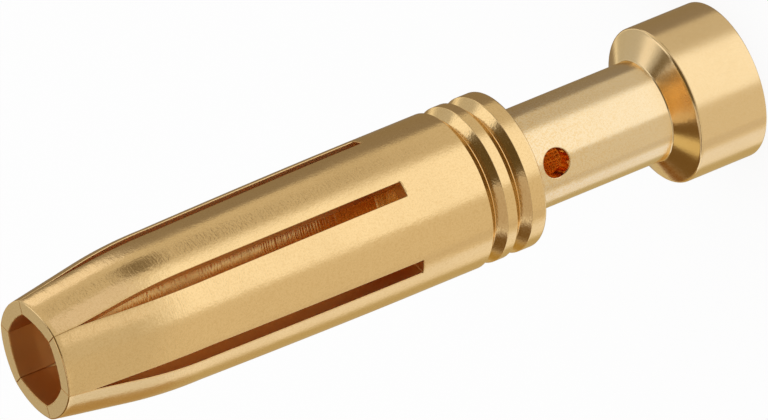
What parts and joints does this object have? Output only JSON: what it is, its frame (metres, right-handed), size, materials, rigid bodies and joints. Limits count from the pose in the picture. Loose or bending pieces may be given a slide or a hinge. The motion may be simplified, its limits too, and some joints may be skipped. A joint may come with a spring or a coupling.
{
  "type": "crimp socket contact",
  "caption": "Turned gold-plated crimp socket contact with a slotted, closed-in spring socket, ringed collar, crimp barrel with inspection hole and flared wire entry.",
  "frame": {"origin": "centre of the crimp end's face, which the contact stands on", "axes": "+Z along the contact's axis from the crimp end to the mouth of the socket, -Y out of the inspection hole"},
  "size_m": [0.0042, 0.0042, 0.0211],
  "materials": {
    "gold_plating": "satin gold plating over a turned copper alloy, with fine turning marks"
  },
  "bodies": {
    "root": {"socket_contact": "gold_plating"}
  },
  "joints": []
}
